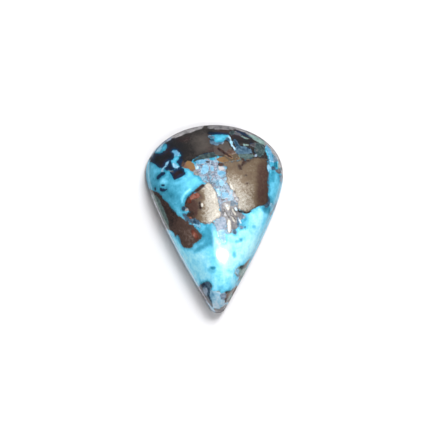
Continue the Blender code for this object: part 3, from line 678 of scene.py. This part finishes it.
    ("turquoise", 0.25, spot(3.3, -2.45, 0.5), 0.4),
    ("turquoise", 0.5, spot(2.45, -4.5, 0.5, 0.9), 0.4),
    ("turquoise", 0.7, spot(1.75, -6.6, 0.6), 0.5),
    ("turquoise", 0.7, spot(1.5, -7.8, 0.8, 1), 0.6),
    ("turquoise", 0.45, spot(-0.5, -6.5, 1.1, 0.9), 0.5),
    ("turquoise", 0.05, spot(-0.35, -6.22, 0.7, 0.4), 0.25),
    # greenish grey at the lower right edge
    ("sage", 0.95, [(4.7, -4.9), (4.13, -5.3), (3.79, -5.75), (3.32, -5.9), (2.83, -6.1), (2.42, -6.6),
        (2.4, -6.85), (2.6, -7.3), (2.93, -7.45), (3.05, -7.8), (2.95, -8.4), (3.6, -8.3), (4.3, -7.2),
        (5, -5.6)]),
    ("sage", 0, [(3.1, -6), (3.8, -5.8), (3.95, -6.2), (3.5, -6.4), (3.1, -6.35)]),
    ("brown", 0.55, [(3.7, -5.8), (4.2, -5.3), (4.8, -4.9), (4.7, -5.7), (4.2, -6.5), (3.9, -6.3)]),
    ("pale", 0.3, [(2.5, -6.5), (2.9, -6.2), (3.1, -6.8), (2.9, -7.1), (2.5, -6.9)]),
    ("slate", 0.5, [(2.65, -7.1), (3.05, -7.1), (3.2, -7.5), (2.9, -7.5)]),
    ("host", 0.1, [(3, -7.6), (3.5, -7.4), (3.5, -8.3), (2.95, -8.4)]),
    # the tip: blue-black on the left, pale blue in the middle, grey-brown on the right
    ("pale", 0.55, [(-2, -8.6), (-0.6, -9.3), (0.2, -9.3), (1, -9.5), (3, -9), (2, -13), (-1, -13),
        (-2.2, -10)]),
    ("slate", 0.05, [(-3, -8.15), (-2.4, -8.3), (-1.6, -8.2), (-1.2, -7.95), (-0.8, -8.1), (-0.6, -8.5),
        (-0.65, -9), (-0.9, -9.4), (-0.8, -10), (-0.6, -10.6), (-0.45, -11.5), (-0.9, -11.6), (-2.2, -9.8),
        (-2.9, -8.7)]),
    ("matrix", 0.25, [(-2.8, -8.3), (-2.1, -8.35), (-1.4, -8.15), (-1.2, -8.5), (-1.5, -8.75), (-2, -9),
        (-2.5, -8.8)]),
    ("slate", 0.35, [(-1.1, -8.1), (-0.8, -8.2), (-0.65, -8.7), (-0.9, -9.2), (-1.15, -8.8)]),
    ("slate", 0.75, [(-1.7, -8.9), (-1.2, -8.85), (-1, -9.5), (-1.2, -9.8), (-1.6, -9.5)]),
    ("host", 0, [(-2.2, -9.3), (-1.7, -9.5), (-1.2, -10.2), (-0.8, -10.8), (-0.6, -11.5), (-1, -11.5),
        (-1.6, -10.5)]),
    ("pale", 0.75, spot(-0.1, -11.2, 0.9, 0.7), 0.5),
    ("pale", 0.8, spot(0.8, -11, 0.5, 0.5), 0.4),
    ("pale", 0.1, spot(-0.5, -9.8, 0.5, 0.7), 0.4),
    ("turquoise", 0.5, spot(0.6, -8.9, 0.8, 0.6), 0.5),
    ("sage", 0.8, spot(0.25, -9.35, 0.6, 0.22)),
    ("slate", 0.6, [(0.5, -9.6), (1.3, -9.5), (1.4, -10.2), (1, -10.6), (0.5, -10.3)]),
    ("brown", 0.75, [(3.1, -8.7), (2.8, -9), (2.33, -9.2), (1.8, -9.35), (1.14, -9.4), (1.2, -9.9),
        (1, -10.3), (1.1, -10.8), (1.37, -11), (1.8, -11.2), (2.6, -10.2), (3.3, -9)]),
    ("sage", 0.9, [(1.9, -9.9), (2.6, -9.5), (2.2, -10.6), (1.7, -11), (1.5, -10.6)]),
    ("host", 0.15, [(1.05, -10.3), (1.6, -10.2), (1.6, -10.7), (1.2, -10.9)]),
    ("sage", 0.2, [(1, -9.35), (1.9, -9.25), (2.8, -8.9), (3, -8.5), (3.1, -8.8), (2.6, -9.3), (1.9, -9.5),
        (1.1, -9.55)]),
    ("host", 0.5, [(-0.6, -11.7), (0.2, -11.7), (0.9, -11.45), (1.4, -11.1), (0.8, -12.6), (-0.6, -12.6)]),
]

kinds = ["turquoise", "matrix", "brown", "rust", "ochre", "bronze", "pale", "slate", "sage", "host", "broken"]

# where each corner of the mesh lies among the outlines, with the same noise at each run
noise.seed_set(WAVER_SEED)
corners = np.empty(len(body.vertices) * 3, np.float32)
body.vertices.foreach_get("co", corners)
corners = corners.reshape(-1, 3).astype(float) / MM
wander = np.array([noise.noise_vector(Vector(p) / WAVER_LENGTH) for p in corners])
drift = np.array([noise.noise_vector(Vector(p) / DRIFT_LENGTH) for p in corners])
depth = np.clip(1 - corners[:, 2] / DRIFT_TOP, 0, 1)[:, None]
places = corners[:, :2] + corners[:, 2:] * np.array(LEAN)
places += wander[:, :2] * WAVER + drift[:, :2] * depth * depth * DRIFT


def rounded(outline):
    """The outline with its corners cut, so that a patch isn't angular."""
    points = np.array(outline, float)
    after = np.roll(points, -1, axis=0)
    leaving = points * (1 - CORNER_CUT) + after * CORNER_CUT
    arriving = points * CORNER_CUT + after * (1 - CORNER_CUT)
    return np.stack([leaving, arriving], 1).reshape(-1, 2)


def depth_inside(points, outline):
    """How far each point is inside the outline, in mm, or below zero how far outside."""
    nearest = np.full(len(points), np.inf)
    inside = np.zeros(len(points), bool)
    for start, end in zip(outline, np.roll(outline, -1, axis=0)):
        run = end - start
        away = points - start
        share = np.clip(away @ run / (run @ run), 0, 1)
        nearest = np.minimum(nearest, ((away - share[:, None] * run) ** 2).sum(1))
        spans = (start[1] > points[:, 1]) != (end[1] > points[:, 1])
        inside ^= spans & ((run[0] * away[:, 1] - run[1] * away[:, 0]) * run[1] < 0)
    return np.where(inside, 1, -1) * np.sqrt(nearest)


patches = {kind: np.full(len(places), -FAR) for kind in kinds}
patches["turquoise"][:] = FAR
tone = np.full(len(places), PLAIN_TONE)
for kind, shade, outline, *slowly in markings:
    outline = rounded(outline)
    if slowly:
        cover = np.clip(depth_inside(places, outline) / slowly[0] + 0.5, 0, 1) * (patches[kind] > 0)
        tone += (shade - tone) * cover * cover * (3 - 2 * cover)
        continue
    low, high = outline.min(0) - EDGE_REACH, outline.max(0) + EDGE_REACH
    near = np.flatnonzero(((places > low) & (places < high)).all(1))
    inside = depth_inside(places[near], outline)
    for name, values in patches.items():
        if name == kind:
            values[near] = np.maximum(values[near], inside)
        else:
            values[near] = np.minimum(values[near], -inside)
    cover = np.clip(inside / TONE_EDGE + 0.5, 0, 1)
    tone[near] += (shade - tone[near]) * cover
for name, values in {**patches, "tone": tone}.items():
    layer = body.attributes.new(name, "FLOAT", "POINT")
    layer.data.foreach_set("value", values.astype(np.float32))

# Finish: each kind of patch has its own row of colours, grain and polish. Below the dome's foot the wheel
# left the stone ground: the back and the girdle have a darker matt skin, darkened further up the girdle as
# painted shade, and the pale bevel carries a painted highlight down the left side.
paints = {
    "turquoise": [(26, 106, 130), (66, 154, 184), (112, 205, 236), (188, 245, 252)],
    "matrix": [(12, 20, 30), (36, 34, 34), (82, 76, 72)],
    "brown": [(42, 30, 28), (78, 60, 53), (136, 120, 112)],
    "rust": [(66, 34, 28), (116, 62, 48), (160, 122, 110)],
    "ochre": [(104, 78, 70), (128, 98, 64), (84, 72, 58)],
    "bronze": [(74, 50, 44), (118, 102, 82), (216, 213, 204)],
    "pale": [(84, 142, 176), (138, 186, 210), (206, 216, 226)],
    "slate": [(34, 58, 78), (84, 112, 132), (156, 166, 184)],
    "sage": [(44, 56, 60), (84, 104, 102), (130, 158, 154)],
    "host": [(62, 62, 66), (120, 118, 120), (176, 174, 176)],
}

tree = stone_finish.node_tree
shader = tree.nodes["Principled BSDF"]
in_mm = tree.nodes.new("ShaderNodeVectorMath")
in_mm.operation = "SCALE"
in_mm.inputs["Scale"].default_value = 1 / MM
join(tree, tree.nodes.new("ShaderNodeTexCoord").outputs["Object"], in_mm.inputs[0])
spot_mm = in_mm.outputs[0]
NOISE_SPREAD = 3.0


def linear(colour):
    """A colour as read from a screen, made linear."""
    return tuple(((c / 255 + 0.055) / 1.055) ** 2.4 if c > 10 else c / 255 / 12.92 for c in colour) + (1.0,)


def cloud_node(size, detail):
    node = tree.nodes.new("ShaderNodeTexNoise")
    join(tree, spot_mm, node.inputs["Vector"])
    node.inputs["Scale"].default_value = 1 / size
    node.inputs["Detail"].default_value = detail
    return node


def clouds(size, detail):
    """Soft noise from about -1 to 1 whose clouds are that many mm wide."""
    return (Field(tree, cloud_node(size, detail).outputs[0]) - 0.5) * NOISE_SPREAD


def three_clouds(size, detail):
    """Three separate soft noises from about -1 to 1."""
    split = tree.nodes.new("ShaderNodeSeparateColor")
    join(tree, cloud_node(size, detail).outputs["Color"], split.inputs[0])
    return [(Field(tree, place) - 0.5) * NOISE_SPREAD for place in split.outputs]


def grains(size, place=None, feature="F1"):
    """Close-packed grains that many mm wide."""
    node = tree.nodes.new("ShaderNodeTexVoronoi")
    node.feature = feature
    join(tree, place or spot_mm, node.inputs["Vector"])
    node.inputs["Scale"].default_value = 1 / size
    return node


def chance(node):
    """A random number from 0 to 1 for each grain."""
    split = tree.nodes.new("ShaderNodeSeparateColor")
    join(tree, node.outputs["Color"], split.inputs[0])
    return Field(tree, split.outputs[0])


def layer_of(name):
    node = tree.nodes.new("ShaderNodeAttribute")
    node.attribute_name = name
    return Field(tree, node.outputs["Fac"])


def ramp(share, colours):
    """Colours in a row, chosen by a number from 0 to 1."""
    node = tree.nodes.new("ShaderNodeValToRGB")
    while len(node.color_ramp.elements) < len(colours):
        node.color_ramp.elements.new(0.5)
    for k, colour in enumerate(colours):
        node.color_ramp.elements[k].position = k / (len(colours) - 1)
        node.color_ramp.elements[k].color = linear(colour)
    join(tree, share, node.inputs[0])
    return node.outputs[0]


def laid_over(under, over, share):
    node = tree.nodes.new("ShaderNodeMix")
    node.data_type = "RGBA"
    join(tree, share, node.inputs[0])
    join(tree, under, node.inputs[6])
    join(tree, over, node.inputs[7])
    return node.outputs[2]


# mottling: how far each noise moves a kind along its row of colours
tone_layer = layer_of("tone")
speck = clouds(size=0.11, detail=2.0)
fine = clouds(size=0.32, detail=4.0)
middling = clouds(size=0.9, detail=3.0)
coarse = clouds(size=2.4, detail=2.0)
grain = grains(size=0.1)
grain_number = chance(grain)
flake_number = chance(grains(size=0.3))
mottling = {
    "turquoise": fine * 0.09 + middling * 0.16 + coarse * 0.14 + speck * 0.03,
    "matrix": fine * 0.08 + middling * 0.1 + coarse * 0.1,
    "brown": fine * 0.22 + middling * 0.16,
    "rust": fine * 0.25 + speck * 0.1,
    "ochre": fine * 0.25 + middling * 0.15 + speck * 0.1,
    "bronze": (grain_number - 0.5) * 0.22 + (flake_number - 0.5) * 0.14 + middling * 0.08 + fine * 0.06,
    "pale": fine * 0.35 + middling * 0.2 + speck * 0.1,
    "slate": fine * 0.35 + middling * 0.2 + speck * 0.1,
    "sage": fine * 0.35 + middling * 0.15 + speck * 0.1,
    "host": fine * 0.3 + middling * 0.3 + coarse * 0.15 + speck * 0.1,
}

# broken zone: angular fragments, each broken again into splinters, with dark cracks between them
FRAGMENT_SIZE = 0.5
SPLINTER_SIZE = 0.2
SPLINTER_SHARE = 0.3
CRACK_WIDTH = 0.12
CRACK_COLOUR = (52, 66, 84)
fragment_paints = [
    (60, 86, 108), (106, 148, 172), (132, 172, 192), (160, 166, 180), (98, 112, 130), (146, 134, 142),
    (124, 160, 180), (80, 92, 104), (160, 184, 198),
]
bent = tree.nodes.new("ShaderNodeVectorMath")
bent.operation = "ADD"
join(tree, spot_mm, bent.inputs[0])
join(tree, cloud_node(size=0.5, detail=2.0).outputs["Color"], bent.inputs[1])
fragment_number = chance(grains(FRAGMENT_SIZE, bent.outputs[0]))
splinter_number = chance(grains(SPLINTER_SIZE, bent.outputs[0]))
crack = Field(tree, grains(FRAGMENT_SIZE, bent.outputs[0], "DISTANCE_TO_EDGE").outputs["Distance"])
fragment_share = fragment_number * (1.0 - SPLINTER_SHARE) + splinter_number * SPLINTER_SHARE + fine * 0.08
broken_paint = laid_over(
    ramp(fragment_share, fragment_paints),
    linear(CRACK_COLOUR),
    (1.0 - crack.rise(0.0, CRACK_WIDTH)) * (0.4 + 0.5 * middling),
)

# host rock: thin dark veins net it
VEIN_SPACING = 2.4
VEIN_WIDTH = 0.05
VEIN_DARKENING = 0.28
vein = Field(tree, grains(VEIN_SPACING, bent.outputs[0], "DISTANCE_TO_EDGE").outputs["Distance"])
veined_tone = tone_layer - (1.0 - (vein + 0.04 * fine).rise(-0.01, VEIN_WIDTH)) * VEIN_DARKENING

# the kind that lies deepest on a spot shows there, and its edge wanders by a noise of its own, all in mm
EDGE_SOFTNESS = 0.11
BROWN_SOFTNESS = 0.2
WIDE_WANDER = 0.13
NARROW_WANDER = 0.12
HEM_WIDTH = 0.5
HEM_DARKENING = 0.22
PYRITE_RIM_WIDTH = 0.2
PYRITE_RIM_SHARE = 0.75
PYRITE_RIM = (52, 44, 42)
RED_STAIN_SHARE = 0.4
RED_STAIN = (60, 34, 36)
BLUE_STAIN_WIDTH = 0.4
BLUE_STAIN = (8, 48, 82)
wide = three_clouds(size=0.7, detail=2.0)
narrow = three_clouds(size=0.2, detail=3.0)
best = None
shares = {}
for number, kind in enumerate(kinds):
    turn = 2 * math.pi * number / len(kinds)
    weights = (math.cos(turn), math.sin(turn), math.cos(3 * turn))
    wanders = [w * (t * WIDE_WANDER) + n * (t * NARROW_WANDER) for w, n, t in zip(wide, narrow, weights)]
    reach = layer_of(kind) + sum(wanders, 0.0)
    if kind == "turquoise":
        hem = 1.0 - reach.rise(0.0, HEM_WIDTH, "SMOOTHSTEP")
        colour = ramp(tone_layer + mottling[kind] - hem * HEM_DARKENING, paints[kind])
        best = reach
        continue
    softness = BROWN_SOFTNESS if kind == "brown" else EDGE_SOFTNESS
    shares[kind] = (reach - best).rise(-softness, softness, "SMOOTHSTEP")
    if kind == "broken":
        paint = broken_paint
    else:
        paint = ramp((veined_tone if kind == "host" else tone_layer) + mottling[kind], paints[kind])
    if kind == "bronze":
        rim = (1.0 - reach.rise(0.0, PYRITE_RIM_WIDTH)) * PYRITE_RIM_SHARE
        paint = laid_over(paint, linear(PYRITE_RIM), rim)
    if kind == "matrix":
        paint = laid_over(paint, linear(RED_STAIN), coarse.rise(0.1, 0.6) * RED_STAIN_SHARE)
        stain = (1.0 - reach.rise(0.0, BLUE_STAIN_WIDTH)) * (1.0 - tone_layer.rise(0.1, 0.5))
        paint = laid_over(paint, linear(BLUE_STAIN), stain)
    colour = laid_over(colour, paint, shares[kind])
    for name in shares:
        if name != kind:
            shares[name] = shares[name] * (1.0 - shares[kind])
    best = best.work("MAXIMUM", best, reach)

# ground skin on the back and the girdle, its darkness partly painted shade, and the pale bevel above it with a
# painted highlight down the left side, with how each fades out, in mm
GIRDLE_TOP = GIRDLE_HIGH / MM
GIRDLE_FADE = 0.04
BEVEL_TOP = DOME_FOOT / MM
BEVEL_FADE = 0.12
PALE_BEVEL_ALL_ROUND = 0.15
BEVEL_HIGHLIGHT_LEFT = 0.5
BEVEL_HIGHLIGHT_MIDDLE = (-2.5, 0.5)
BEVEL_HIGHLIGHT_END = (2.0, 5.0)
GROUND_SKIN_AND_SHADE = (56, 54, 62)
PALE_BEVEL_AND_HIGHLIGHT = (218, 214, 222)
split_spot = tree.nodes.new("ShaderNodeSeparateXYZ")
join(tree, spot_mm, split_spot.inputs[0])
x_mm, y_mm, z_mm = [Field(tree, place) for place in split_spot.outputs]
bevel_and_highlight = PALE_BEVEL_ALL_ROUND + BEVEL_HIGHLIGHT_LEFT * (1.0 - x_mm.rise(*BEVEL_HIGHLIGHT_MIDDLE)) * (1.0 - y_mm.rise(*BEVEL_HIGHLIGHT_END))
ground = 1.0 - z_mm.rise(GIRDLE_TOP - GIRDLE_FADE, GIRDLE_TOP + GIRDLE_FADE)
bevel = (1.0 - ground) * (1.0 - z_mm.rise(BEVEL_TOP, BEVEL_TOP + BEVEL_FADE))
# the dark matt skin, stronger on the girdle than on the back: partly painted shade under the dome's foot
colour = laid_over(colour, linear(GROUND_SKIN_AND_SHADE), ground * (0.35 + 0.35 * z_mm.rise(0.1, 0.3) + 0.08 * fine))
# the pale bevel all round, with much more of it down the left side: painted highlight
colour = laid_over(colour, linear(PALE_BEVEL_AND_HIGHLIGHT), bevel * bevel_and_highlight * (1.0 + 0.4 * fine + 0.25 * middling))
join(tree, colour, shader.inputs["Base Color"])

# polish: glassy turquoise, a little duller matrix, metal glints in the pyrite's grains, matt where ground
TURQUOISE_IOR = 1.61
DOME_ROUGHNESS = 0.1
MATRIX_ROUGHER = 0.04
PYRITE_ROUGHER = 0.34
GROUND_ROUGHER = 0.45
BEVEL_ROUGHER = 0.25
BUMP_STRENGTH = 0.35
BUMP_HEIGHT = 0.03 * MM
metal = shares["bronze"] * (0.2 + 0.35 * grain_number) * (1.0 - ground)
join(tree, metal, shader.inputs["Metallic"])
dull = shares["matrix"] + shares["brown"] + shares["ochre"] + shares["rust"]
rough = DOME_ROUGHNESS + 0.015 * fine + dull * MATRIX_ROUGHER
rough = rough + shares["bronze"] * PYRITE_ROUGHER + ground * GROUND_ROUGHER + bevel * BEVEL_ROUGHER
join(tree, rough, shader.inputs["Roughness"])
shader.inputs["IOR"].default_value = TURQUOISE_IOR
relief = (
    shares["bronze"] * (grain_number * 0.5 - Field(tree, grain.outputs["Distance"]) * 0.5)
    + (shares["matrix"] + shares["brown"]) * speck * 0.15
    + ground * speck * 0.4
    + fine * 0.02
)
bump = tree.nodes.new("ShaderNodeBump")
bump.inputs["Strength"].default_value = BUMP_STRENGTH
bump.inputs["Distance"].default_value = BUMP_HEIGHT
join(tree, relief, bump.inputs["Height"])
join(tree, bump.outputs[0], shader.inputs["Normal"])

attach(stone, "root")
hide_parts("cabochon")
